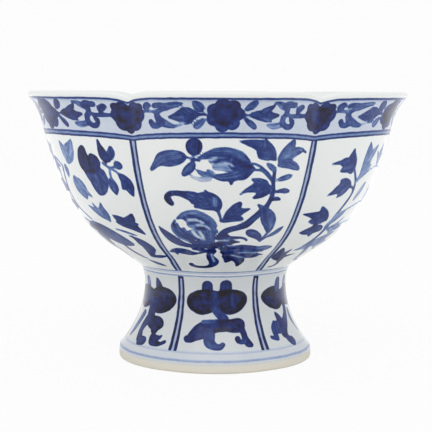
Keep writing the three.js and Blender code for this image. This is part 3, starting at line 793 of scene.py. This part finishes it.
STEM_RIGHT = [
    (.97, (-10.6, 29.2, 1.8), (-8.8, 29, 3.2), (-6, 28.6, 4.5), (-3.6, 28, 4.2), (-1.5, 28.3, 2.8)),
    (.87, (-5, 27.7, 1.2)),
    (.7, (-2.8, 35, 1.5), (-2.9, 32.5, 1.9)),
    (.8, (-.3, 28.8, 1.6), (1, 26.5, 1.4), (1.6, 24, 1.4), (.6, 21, 1.4), (-1.5, 18.3, 1.9),
     (-3.6, 16, 1.9),
     (-4.4, 13.5, 1.6), (-3.6, 11, 1.5), (-2.2, 10.2, 2.1)),
    (.85, (-6.3, 22.3, .6), (-5.2, 20.3, 1.5), (-4.5, 18, 2.2), (-5, 15.5, 2), (-5.6, 13.2, 1.2)),
    (.78, (-8.5, 18.5, 1.2), (-9.8, 16.3, 1.5), (-10.3, 14, 1.3), (-10.5, 12.5, 1), (-12.8, 13.2, .8)),
    (.7, (-7.4, 18, 1.5), (-7.8, 15.5, 1.5)),
    (.6, (3.6, 34.8, 1.6), (3.8, 32.3, 1.9)),
    (.9, (1.5, 29, 2.6), (5, 28.3, 4.2), (8.5, 28, 3.8), (10.5, 28.3, 2)),
    (.6, (5, 22, 1.2), (5.5, 19, 1.6), (7, 16, 1), (9.5, 12.8, .8)),
]
print(f"stem strokes: {len(STEM_FRONT)}, {len(STEM_LEFT)} and {len(STEM_RIGHT)}")

# %% [markdown]
# ## Laying the painting on the clay
# The painting is kept on the mesh as attributes in millimetres: `wash` is the depth inside a
# stroke, `tone` its strength, `across` the distance from the nearest crease, `up` the distance up
# the outside, and `ring` the height above the line that runs round under the border. That line
# dips at each crease, as a brush does where it crosses a fold. `aside` and `along` are the places
# on a stroke, for its streaks.

# %% Write the attributes
RING_PLACE = 70.475
RING_DIP = 1.7
RING_DIP_LENGTH = 14
FAR_FROM_RING = 30
UNDER = -9
BOWL_WITHIN = 99
STEM_WITHIN = 3.5
STEM_TOP_MARK = 38.66


def lay_painting(piece, profile, first, last, lobe_strokes, top_mark, within):
    """Paints the rows from first to last, where the last is at top_mark. Gives the painted share."""
    angle, radius, height = round_places(piece.data.vertices, "co")
    row = nearest(profile, radius, height)
    lobe, turn = from_lobe(angle)
    along = lengths(profile)
    up = (along - along[last] + top_mark)[row]
    laid = np.zeros((4, len(row)))
    laid[0] = BARE
    for number, strokes in enumerate(lobe_strokes):
        here = np.flatnonzero((row >= first) & (row <= last) & (lobe == number))
        laid[:, here] = painted(turn[here] * radius[here], up[here], strokes)
    to_crease = (HALF_LOBE - np.abs(turn)) * radius
    ring = up - RING_PLACE + RING_DIP * np.exp(-to_crease / RING_DIP_LENGTH)
    up = np.where(row < first, UNDER, np.where(row > last, within, up))
    ring = np.where(row < first, -FAR_FROM_RING, np.where(row > last, FAR_FROM_RING, ring))
    kept = dict(zip(("wash", "tone", "aside", "along"), laid), across=to_crease, up=up, ring=ring)
    for name, values in kept.items():
        layer = piece.data.attributes.new(name, "FLOAT", "POINT")
        layer.data.foreach_set("value", values.astype(np.float32))
    return (laid[0] > 0).mean()


LOBE_PAINTINGS = ((FRONT_SPRAY, 1), (RIGHT_SPRAY, 0.95), (LEFT_SPRAY, 1.14))
bowl_strokes = [
    spray + [(strength * fullness, *marks) for strength, *marks in BORDER_SCROLLS] + BORDER_FLOWERS
    for spray, fullness in LOBE_PAINTINGS
]
stem_strokes = [STEM_FRONT, STEM_RIGHT, STEM_LEFT]
bowl_rows = (bowl_profile, bowl_first, bowl_last)
stem_rows = (stem_profile, stem_first, stem_last)
bowl_top_mark = lengths(outside_rows)[-1]
bowl_share = lay_painting(bowl, *bowl_rows, bowl_strokes * 2, bowl_top_mark, BOWL_WITHIN)
stem_share = lay_painting(stem, *stem_rows, stem_strokes * 2, STEM_TOP_MARK, STEM_WITHIN)
print(f"{bowl_share:.0%} of the bowl and {stem_share:.0%} of the stem is painted")

# %% [markdown]
# ## A map for baking
# When the bowl leaves Blender its colours are baked to a picture. Each lobe gets a tile of its own
# in that picture, because a lobe is nearly flat when it is unrolled. The outside takes the upper
# two thirds, and the hidden faces share the rest in a low and a tall row of tiles.

# %% Unroll each lobe to its tile
BAKE_MAP = "OFBake"
ON_AXIS = 0.01
TILE_GAP = 0.02
LOW_ROW = (0, 0.08)
TALL_ROW = (0.08, 0.25)


def unroll(piece, profile, first, last, before, after):
    """Unrolls the outside, and the rows before and after it to the rows of tiles named."""
    mesh = piece.data
    along = lengths(profile)
    angle, radius, height = round_places(mesh.vertices, "co")
    face_angle, face_radius, face_height = round_places(mesh.polygons, "center")
    span = nearest((profile[1:] + profile[:-1]) / 2, face_radius, face_height)
    face_lobe, face_turn = from_lobe(face_angle)
    corners = np.empty(len(mesh.loops), np.int32)
    mesh.loops.foreach_get("vertex_index", corners)
    counts = np.empty(len(mesh.polygons), np.int32)
    mesh.polygons.foreach_get("loop_total", counts)
    face = np.repeat(np.arange(len(counts)), counts)

    middle = (face_angle - face_turn)[face]
    turn = (angle[corners] - middle + math.pi) % math.tau - math.pi
    turn = np.where(radius[corners] < ON_AXIS, face_turn[face], turn)
    low, high = span[face], span[face] + 1
    spot = np.column_stack([radius, height])[corners]
    to_low, to_high = (np.hypot(*(spot - profile[end]).T) for end in (low, high))
    place = np.where(to_low < to_high, along[low], along[high])

    lobe = face_lobe[face]
    zones = (
        (0, first, lobe / LOBES, before[0], (1 / LOBES, before[1])),
        (first, last, lobe % 3 / 3, 1 / 3 + lobe // 3 / 3, (1 / 3, 1 / 3)),
        (last, len(profile) - 1, lobe / LOBES, after[0], (1 / LOBES, after[1])),
    )
    flat = np.zeros((len(corners), 2))
    share_across = turn / (2 * HALF_LOBE) + 0.5
    for start, end, tile_across, tile_up, size in zones:
        here = (low >= start) & (low < end)
        share_up = (place - along[start]) / (along[end] - along[start])
        shares = TILE_GAP + (1 - 2 * TILE_GAP) * np.column_stack([share_across, share_up])
        corner = np.column_stack([tile_across, tile_up + 0 * lobe])
        flat[here] = (corner + np.array(size) * shares)[here]
    layer = mesh.uv_layers.new(name=BAKE_MAP)
    layer.data.foreach_set("uv", flat.astype(np.float32).ravel())


unroll(bowl, *bowl_rows, LOW_ROW, TALL_ROW)
unroll(stem, *stem_rows, TALL_ROW, LOW_ROW)
print("each lobe unrolled to its tile")

# %% [markdown]
# ## Pressing the lobes
# The round parts are now pressed into six lobes. In plan each lobe is an arc of a circle, and
# neighbouring arcs meet in a crease. No operator of Blender draws this shape, so the vertices are
# moved by the formula. The crease is rounded by less than a millimetre, because glaze fills it,
# and the rim dips a little at each crease.

# %% Move the vertices into lobes
FOOT_CREASE = 0.988
WAIST_CREASE = 0.978
BODY_CREASE = 0.917
RIM_CREASE = 0.877
CREASE_DEEPENING = 11
CREASE_ROUNDING = 0.75
RIM_DIP = 1.7
RIM_DIP_LENGTH = 4
RIM_DIP_DEPTH = 20
SHARP_ANGLE = 50


def bowl_crease(radius, height):
    """Radius in a crease over the radius of its lobe, on the bowl."""
    body = smooth(radius, stem_top_radius, stem_top_radius + CREASE_DEEPENING)
    ratio = WAIST_CREASE + (BODY_CREASE - WAIST_CREASE) * body
    return ratio + (RIM_CREASE - ratio) * smooth(height, neck_height, overall_height)


def stem_crease(radius, height):
    """The same on the stem, which is rounder at its foot."""
    return FOOT_CREASE + (WAIST_CREASE - FOOT_CREASE) * smooth(height, 0, WAIST_HEIGHT)


def press_lobes(piece, crease_at):
    """Moves the vertices into lobes, then shades smoothly all but the sharp corners."""
    angle, radius, height = round_places(piece.data.vertices, "co")
    ratio = crease_at(radius, height)
    rounding = CREASE_ROUNDING / np.maximum(radius, CREASE_ROUNDING / HALF_LOBE)
    to_crease = HALF_LOBE - np.abs(from_lobe(angle)[1])
    soft = np.hypot(to_crease, rounding * (1 - to_crease / HALF_LOBE))
    turn = HALF_LOBE - soft
    centre = (1 - ratio**2) / (2 * (1 - ratio * math.cos(HALF_LOBE)))
    stretch = centre * np.cos(turn) + np.sqrt((1 - centre) ** 2 - (centre * np.sin(turn)) ** 2)
    nearby = np.exp(-(soft - rounding) * radius / RIM_DIP_LENGTH)
    dip = RIM_DIP * smooth(height, overall_height - RIM_DIP_DEPTH, overall_height) * nearby
    reach = radius * stretch
    places = np.column_stack([reach * np.sin(angle), -reach * np.cos(angle), height - dip])
    piece.data.vertices.foreach_set("co", (places * MM).astype(np.float32).ravel())
    piece.data.update()
    bpy.ops.object.select_all(action="DESELECT")
    piece.select_set(True)
    bpy.context.view_layer.objects.active = piece
    bpy.ops.object.shade_smooth_by_angle(angle=math.radians(SHARP_ANGLE))


press_lobes(bowl, bowl_crease)
press_lobes(stem, stem_crease)
print("pressed into", LOBES, "lobes")

# %% [markdown]
# ## Materials
# Porcelain is white and fine, and its clear glaze is as smooth as glass. Cobalt is painted under
# the glaze, so paint and porcelain share one shine. Colours are given as sRGB hex values.


# %% Colour and node helpers
def linear(hex_colour):
    """An sRGB colour as the linear values that shaders work with."""
    parts = [int(hex_colour[place : place + 2], 16) / 255 for place in (1, 3, 5)]
    return [part / 12.92 if part <= 0.04045 else ((part + 0.055) / 1.055) ** 2.4 for part in parts] + [1]


def add_node(tree, kind, inputs=None, stops=None, **settings):
    """Adds a shader node and gives its outputs. An input is a value or the socket it is linked to."""
    node = tree.nodes.new("ShaderNode" + kind)
    for name, value in settings.items():
        setattr(node, name, value)
    for name, value in (inputs or {}).items():
        if isinstance(value, bpy.types.NodeSocket):
            tree.links.new(value, node.inputs[name])
        else:
            node.inputs[name].default_value = value
    for number, (place, colour) in enumerate(stops or []):
        marks = node.color_ramp.elements
        mark = marks[number] if number < 2 else marks.new(place)
        mark.position = place
        mark.color = colour if isinstance(colour, list) else (colour, colour, colour, 1)
    return node.outputs


def new_material(name):
    """A material and its empty node tree."""
    material = bpy.data.materials.new(name)
    material.use_nodes = True
    material.node_tree.nodes.clear()
    return material, material.node_tree


# %% [markdown]
# ## Cobalt under clear glaze
# The brush leaves more or less cobalt, and its colour runs from the white of the porcelain through
# a pale grey blue and a clear blue to nearly black where it is heaped. The lines on the creases
# and round the bowl are drawn from the attributes, so they stay sharp, and a little noise gives
# them the waver of a hand. Noise drawn out along each stroke leaves the streaks of the brush's
# hairs, and a finer noise mottles the colour as it does when it sinks into the clay.

# %% The scale of cobalt blues and the hand's waver
COBALT = [
    (0.1, "#c8cfdc"),
    (0.25, "#9baac8"),
    (0.4, "#6882b2"),
    (0.5, "#486299"),
    (0.65, "#263d7c"),
    (0.8, "#162768"),
    (0.9, "#1a1c4c"),
    (1, "#06061a"),
]
WAVER_LENGTH = 4
WAVER = 0.24
MOTTLE_LENGTH = 2.2
MOTTLE = 0.12
STREAK_WIDTH = 0.9
STREAK_LENGTH = 7
LIGHT_STREAKS = 0.44
DARK_STREAKS = 0.03
PALEST_TONE = 0.3
STROKE_EDGE = 0.24
NOISE_RANGE = {"From Min": 0.3, "From Max": 0.7}


def brush_streaks(tree, marks):
    """Share by which the hairs of the brush thin or thicken the colour, stronger in pale washes."""
    spot = add_node(tree, "CombineXYZ", {"X": marks["aside"], "Y": marks["along"]})[0]
    hair = (1 / STREAK_WIDTH, 1 / STREAK_LENGTH, 1)
    drawn = add_node(tree, "Mapping", {"Vector": spot, "Scale": hair})[0]
    grain = {"Vector": drawn, "Scale": 1, "Detail": 2, "Roughness": 0.6}
    hairs = add_node(tree, "TexNoise", grain)["Fac"]
    paler = {"From Min": PALEST_TONE, "From Max": 1, "To Min": LIGHT_STREAKS, "To Max": DARK_STREAKS}
    strength = add_node(tree, "MapRange", {"Value": marks["tone"], **paler})[0]
    swing = {"Value": hairs, **NOISE_RANGE, "To Min": -1, "To Max": 1}
    centred = add_node(tree, "MapRange", swing, clamp=False)[0]
    return add_node(tree, "Math", {0: centred, 1: strength, 2: 1}, operation="MULTIPLY_ADD")[0]


def brush_density(tree, marks, places, lines_of):
    """How much cobalt there is at each place, from the strokes and the lines."""
    hand = {"Vector": places, "Scale": 1 / (WAVER_LENGTH * MM), "Detail": 2}
    parts = add_node(tree, "SeparateColor", {"Color": add_node(tree, "TexNoise", hand)["Color"]})
    shifted = {}
    for name, part in (("wash", 0), ("across", 1), ("up", 2), ("ring", 2)):
        waver = {0: parts[part], 1: WAVER * 2, 2: -WAVER}
        shift = add_node(tree, "Math", waver, operation="MULTIPLY_ADD")[0]
        shifted[name] = add_node(tree, "Math", {0: marks[name], 1: shift})[0]
    edge = {"Value": shifted["wash"], "From Min": -STROKE_EDGE, "From Max": STROKE_EDGE}
    strokes = add_node(tree, "MapRange", edge, interpolation_type="SMOOTHSTEP")[0]
    for share in (marks["tone"], brush_streaks(tree, marks)):
        strokes = add_node(tree, "Math", {0: strokes, 1: share}, operation="MULTIPLY")[0]
    most = add_node(tree, "Math", {0: strokes, 1: lines_of(tree, shifted)}, operation="MAXIMUM")[0]
    cloud = {"Vector": places, "Scale": 1 / (MOTTLE_LENGTH * MM), "Detail": 3, "Roughness": 0.6}
    mottle = {"Value": add_node(tree, "TexNoise", cloud)["Fac"], **NOISE_RANGE}
    uneven = add_node(tree, "MapRange", {**mottle, "To Min": 1 - MOTTLE, "To Max": 1 + MOTTLE})[0]
    return add_node(tree, "Math", {0: most, 1: uneven}, operation="MULTIPLY")[0]


# %% [markdown]
# ## Painted lines
# A line is a list of stops: a place in millimetres and the strength of the cobalt there. On the
# creases the places count from the crease, on the ring from the middle of the ring, and elsewhere
# up the outside. Each crease has a double line with a pale wash between.

# %% Lines of the bowl and of the stem
BORDER_GROUND = 0.12
BOWL_CREASE_LINES = [(0, 0.26), (0.36, 0.26), (0.62, 0.86), (1.3, 0.86), (1.62, 0), (4, 0)]
BELOW_RING = [(-4, 1), (-1, 1), (-0.8, 0), (4, 0)]
ABOVE_WAIST = [(0, 0), (1.5, 0), (1.8, 1), (8, 1)]
RING_LINES = [
    (-4, 0), (-1.15, 0), (-0.95, 0.84), (-0.5, 0.84), (-0.3, 0.4), (0.3, 0.4), (0.5, 0.78), (0.9, 0.78),
    (1.25, BORDER_GROUND), (4, BORDER_GROUND),
]
BELOW_LIP = [(80, 1), (84.6, 1), (84.8, 0), (90, 0)]
LIP_LINE = [
    (80, 0), (82.6, 0.12), (83.7, 0.2), (84, 0.4), (84.2, 0.74), (84.85, 0.74), (85.1, 0), (90, 0),
]
WAIST_LINE = [(-2, 0), (0, 0.13), (0.9, 0.13), (1.1, 0.42), (1.45, 0.42), (1.7, 0), (6, 0)]
STEM_CREASE_LINES = [(0, 0.22), (0.3, 0.22), (0.52, 0.9), (1.34, 0.9), (1.58, 0), (4, 0)]
BETWEEN_LINES = [(0, 1), (1.4, 1), (1.55, 0), (4, 0)]
CREASE_SPAN = [(0, 0), (8.4, 0), (8.7, 1), (37.9, 1), (38.1, 0), (40, 0)]
CREASE_TOP = [(0, 0), (36.9, 0), (37.2, 0.95), (37.9, 0.95), (38.1, 0), (40, 0)]
STEM_RINGS = [
    (0, 0), (4.1, 0), (4.6, 0.28), (5.1, 0.28), (5.8, 0.05), (7.6, 0.03), (8.1, 0.17), (8.5, 0.17),
    (9.3, 0), (37.9, 0), (38.15, 0.3), (38.55, 0.3), (38.8, 0.13), (40, 0.13),
]
CREASE_SPREAD = {"From Min": 9, "From Max": 38, "To Min": 0.8, "To Max": 1.19}


def banded(tree, place, stops):
    """Strength of lines by a place in millimetres, between the first and the last stop."""
    low, high = stops[0][0], stops[-1][0]
    share = add_node(tree, "MapRange", {"Value": place, "From Min": low, "From Max": high})[0]
    scaled = [((mark - low) / (high - low), strength) for mark, strength in stops]
    return add_node(tree, "ValToRGB", {"Fac": share}, stops=scaled)["Color"]


def bowl_lines(tree, marks):
    """Crease lines between waist and ring, the ring, the border's ground, and lines at lip and waist."""
    creases = banded(tree, marks["across"], BOWL_CREASE_LINES)
    for part in (banded(tree, marks["ring"], BELOW_RING), banded(tree, marks["up"], ABOVE_WAIST)):
        creases = add_node(tree, "Math", {0: creases, 1: part}, operation="MULTIPLY")[0]
    below_lip = banded(tree, marks["up"], BELOW_LIP)
    rings = {0: banded(tree, marks["ring"], RING_LINES), 1: below_lip}
    band = add_node(tree, "Math", rings, operation="MULTIPLY")[0]
    lines = creases
    for other in (band, banded(tree, marks["up"], LIP_LINE), banded(tree, marks["up"], WAIST_LINE)):
        lines = add_node(tree, "Math", {0: lines, 1: other}, operation="MAXIMUM")[0]
    return lines


def stem_lines(tree, marks):
    """Crease lines that draw together towards the foot, closed at the top, and rings at both ends."""
    spread = add_node(tree, "MapRange", {"Value": marks["up"], **CREASE_SPREAD})[0]
    aside = add_node(tree, "Math", {0: marks["across"], 1: spread}, operation="MULTIPLY")[0]
    lines = banded(tree, marks["up"], STEM_RINGS)
    for across, along in ((STEM_CREASE_LINES, CREASE_SPAN), (BETWEEN_LINES, CREASE_TOP)):
        both = {0: banded(tree, aside, across), 1: banded(tree, marks["up"], along)}
        part = add_node(tree, "Math", both, operation="MULTIPLY")[0]
        lines = add_node(tree, "Math", {0: lines, 1: part}, operation="MAXIMUM")[0]
    return lines


# %% [markdown]
# ## Glazed porcelain and bare biscuit
# The glaze is poured glass about 0.2 mm thick. It keeps a faint waviness from the brush and the
# hand, which breaks up its highlights. The foot ring is wiped clean of glaze before firing, so
# that the bowl does not stick to the shelf, and the bare clay there is beige and dull.

# %% Glazed material
BOWL_WHITE = "#e4e7e6"
# The stem is the same porcelain and glaze as the bowl. Its white is darker and bluer as painted shade, for
# the shade that the bowl's overhang casts on the stem.
STEM_WHITE_WITH_PAINTED_SHADE = "#d2d6d8"
BARE_CLAY = "#e2ddd0"
GLAZE_IOR = 1.36
GLAZE_ROUGHNESS = 0.1
BISCUIT_ROUGHNESS = 0.75
RIPPLE_LENGTH = 16
RIPPLE_HEIGHT = 0.03
BARE_EDGE = [(0, 0), (2.8, 0), (3.6, 1), (10, 1)]
MARKS = ("wash", "tone", "across", "up", "ring", "aside", "along")


def painted_glaze(name, white, lines_of, bare_foot=False):
    """Cobalt painting on white porcelain under one clear glaze."""
    material, tree = new_material(name)
    marks = {mark: add_node(tree, "Attribute", attribute_name=mark)["Fac"] for mark in MARKS}
    places = add_node(tree, "TexCoord")["Object"]
    density = brush_density(tree, marks, places, lines_of)
    scale = [(place, linear(colour)) for place, colour in [(0, white), *COBALT]]
    colour = add_node(tree, "ValToRGB", {"Fac": density}, stops=scale)["Color"]
    roughness = GLAZE_ROUGHNESS
    if bare_foot:
        glazed = banded(tree, marks["up"], BARE_EDGE)
        clay = {0: glazed, 6: linear(BARE_CLAY), 7: colour}
        colour = add_node(tree, "Mix", clay, data_type="RGBA")[2]
        roughness = add_node(tree, "Mix", {0: glazed, 2: BISCUIT_ROUGHNESS, 3: GLAZE_ROUGHNESS})[0]
    wave = {"Vector": places, "Scale": 1 / (RIPPLE_LENGTH * MM), "Detail": 1}
    ripple = {"Height": add_node(tree, "TexNoise", wave)["Fac"], "Distance": RIPPLE_HEIGHT * MM}
    bump = add_node(tree, "Bump", {**ripple, "Strength": 1})[0]
    shine = {"Base Color": colour, "Roughness": roughness, "IOR": GLAZE_IOR, "Normal": bump}
    add_node(tree, "OutputMaterial", {"Surface": add_node(tree, "BsdfPrincipled", shine)[0]})
    return material


bowl_glaze = painted_glaze("cobalt_painted_glazed_porcelain", BOWL_WHITE, bowl_lines)
stem_glaze = painted_glaze("cobalt_painted_glazed_stem_in_painted_shade", STEM_WHITE_WITH_PAINTED_SHADE, stem_lines, bare_foot=True)
bowl.data.materials.append(bowl_glaze)
stem.data.materials.append(stem_glaze)
print("glazed the bowl and the stem")

# %% [markdown]
# ## The joint
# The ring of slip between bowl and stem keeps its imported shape. It is the same clay, fired without
# glaze, and only its material changes.

# %% Fired slip
SLIP_COLOUR = "#e8e2d6"
SLIP_ROUGHNESS = 0.8
SLIP_IOR = 1.5

fired_slip, slip_tree = new_material("fired_white_slip")
slip_finish = {"Base Color": linear(SLIP_COLOUR), "Roughness": SLIP_ROUGHNESS, "IOR": SLIP_IOR}
slip_surface = add_node(slip_tree, "BsdfPrincipled", slip_finish)[0]
add_node(slip_tree, "OutputMaterial", {"Surface": slip_surface})
frame["nodes"]["luting_slip"].material_slots[0].material = fired_slip
print("fired slip on the joint")

# %% [markdown]
# ## Set the pieces in the frame
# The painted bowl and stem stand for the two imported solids, and all of them ride on the one body.

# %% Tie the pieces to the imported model
BODY = next(iter(frame["bodies"]))
for piece, node, slot in ((bowl, "bowl", "bowl_glaze"), (stem, "stem_foot", "stem_glaze")):
    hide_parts(node)
    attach(piece, BODY)
print("pieces ride on", BODY)

# %% [markdown]
# ## Studio
# A bowl like this is photographed on white paper that curves up behind it, in soft light from
# all sides with a little more from above. The paper looks white to the camera and keeps the
# bowl's shadow. The translucent table is lit from below at both sides, which brightens the
# side lobes and lays a soft veil over them near the outline.

# %% Paper sweep
PAPER_COLOUR = "#e6e6e4"
PAPER_GLOW = 0.92
PAPER_SIZE = 4
PAPER_RISE = 2
PAPER_BEND = 0.6
BEND_STEPS = 12
NEAR = 0.01


def seen_or_mirrored(tree):
    """1 for the camera and for mirrored and refracted rays, 0 for light that falls on the bowl."""
    path = add_node(tree, "LightPath")
    seen = path["Is Camera Ray"]
    for other in ("Is Glossy Ray", "Is Transmission Ray"):
        seen = add_node(tree, "Math", {0: seen, 1: path[other]}, operation="MAXIMUM")[0]
    return seen


def white_paper():
    """White paper that the camera and reflections see as nearly pure white."""
    material, tree = new_material("white_paper")
    share = {0: seen_or_mirrored(tree), 1: PAPER_GLOW}
    glow_share = add_node(tree, "Math", share, operation="MULTIPLY")[0]
    sheet = add_node(tree, "BsdfDiffuse", {"Color": linear(PAPER_COLOUR)})[0]
    glow = add_node(tree, "Emission", {"Color": (1, 1, 1, 1), "Strength": 1})[0]
    mixed = add_node(tree, "MixShader", {0: glow_share, 1: sheet, 2: glow})[0]
    add_node(tree, "OutputMaterial", {"Surface": mixed})
    return material


def edit_back_edge(piece):
    """Enters edit mode with only the edge selected that lies at the back on the floor."""
    bpy.ops.object.mode_set(mode="EDIT")
    bpy.ops.mesh.select_mode(type="EDGE")
    bpy.ops.mesh.select_all(action="DESELECT")
    bpy.ops.object.mode_set(mode="OBJECT")
    for edge in piece.data.edges:
        ends = [piece.data.vertices[number].co for number in edge.vertices]
        edge.select = all(end.y > PAPER_SIZE / 2 - NEAR and end.z < NEAR for end in ends)
    bpy.ops.object.mode_set(mode="EDIT")


bpy.ops.object.select_all(action="DESELECT")
bpy.ops.mesh.primitive_plane_add(size=PAPER_SIZE, location=(0, 0, 0))
sweep = bpy.context.object
sweep.name = "paper_sweep"
edit_back_edge(sweep)
bpy.ops.mesh.extrude_region_move(TRANSFORM_OT_translate={"value": (0, 0, PAPER_RISE)})
bpy.ops.object.mode_set(mode="OBJECT")
edit_back_edge(sweep)
bpy.ops.mesh.bevel(offset=PAPER_BEND, segments=BEND_STEPS)
bpy.ops.object.mode_set(mode="OBJECT")
bpy.ops.object.shade_smooth()
sweep.data.materials.append(white_paper())
print("paper sweep of", len(sweep.data.polygons), "faces")

# %% Light of the air
AIR_LIGHT = 0.88
world = bpy.data.worlds.new("studio_air")
bpy.context.scene.world = world
world.use_nodes = True
air = world.node_tree
air.nodes.clear()
air_range = {"Value": seen_or_mirrored(air), "To Min": AIR_LIGHT, "To Max": 1}
air_strength = add_node(air, "MapRange", air_range)[0]
air_glow = add_node(air, "Background", {"Color": (1, 1, 1, 1), "Strength": air_strength})[0]
add_node(air, "OutputWorld", {"Surface": air_glow})
print("air", AIR_LIGHT)

# %% Softboxes
KEY_POWER = 15
KEY_SIZE = (2.2, 2.2)
KEY_PLACE = (-0.1, -1.25, 2)
KEY_AIM = (0, 0, 0.07)
TABLE_POWER = 1
TABLE_SIZE = (0.8, 0.9)
TABLE_ASIDE = 0.5
TABLE_BACK = 0.2
TABLE_LIFT = 0.004


def softbox(name, place, aim, size, power):
    """A rectangular light that faces its aim. The camera doesn't see it, but the glaze does."""
    data = bpy.data.lights.new(name, "AREA")
    data.shape = "RECTANGLE"
    data.size, data.size_y = size
    data.energy = power
    light = bpy.data.objects.new(name, data)
    bpy.context.collection.objects.link(light)
    light.location = place
    light.rotation_euler = (Vector(place) - Vector(aim)).to_track_quat("Z", "Y").to_euler()
    light.visible_camera = False


softbox("overhead_softbox", KEY_PLACE, KEY_AIM, KEY_SIZE, KEY_POWER)
for aside in (-TABLE_ASIDE, TABLE_ASIDE):
    softbox("table_panel", (aside, TABLE_BACK, TABLE_LIFT), (aside, TABLE_BACK, 1), TABLE_SIZE, TABLE_POWER)
print("softbox", KEY_POWER, "W, table panels", TABLE_POWER, "W")

# %% [markdown]
# ## Camera
# The camera stands about half a metre away, level with the rim and a little to the left, and
# looks slightly down, as in the photograph.

# %% Camera
CAMERA_PLACE = (-25.98, -497.7, 106.59)
CAMERA_TURN = -3.02
CAMERA_PITCH = -5.801
CAMERA_ROLL = 0.259
FOCAL_LENGTH = 103.7
SENSOR_WIDTH = 36
CLIP_START = 0.01

camera_data = bpy.data.cameras.new("camera")
camera_data.lens = FOCAL_LENGTH
camera_data.sensor_width = SENSOR_WIDTH
camera_data.clip_start = CLIP_START
camera = bpy.data.objects.new("camera", camera_data)
bpy.context.collection.objects.link(camera)
camera.matrix_world = (
    Matrix.Translation([value * MM for value in CAMERA_PLACE])
    @ Matrix.Rotation(math.radians(CAMERA_TURN), 4, "Z")
    @ Matrix.Rotation(math.radians(90 + CAMERA_PITCH), 4, "X")
    @ Matrix.Rotation(math.radians(CAMERA_ROLL), 4, "Z")
)
bpy.context.scene.camera = camera
bpy.context.scene.view_settings.view_transform = "Standard"
print("camera", CAMERA_PLACE)
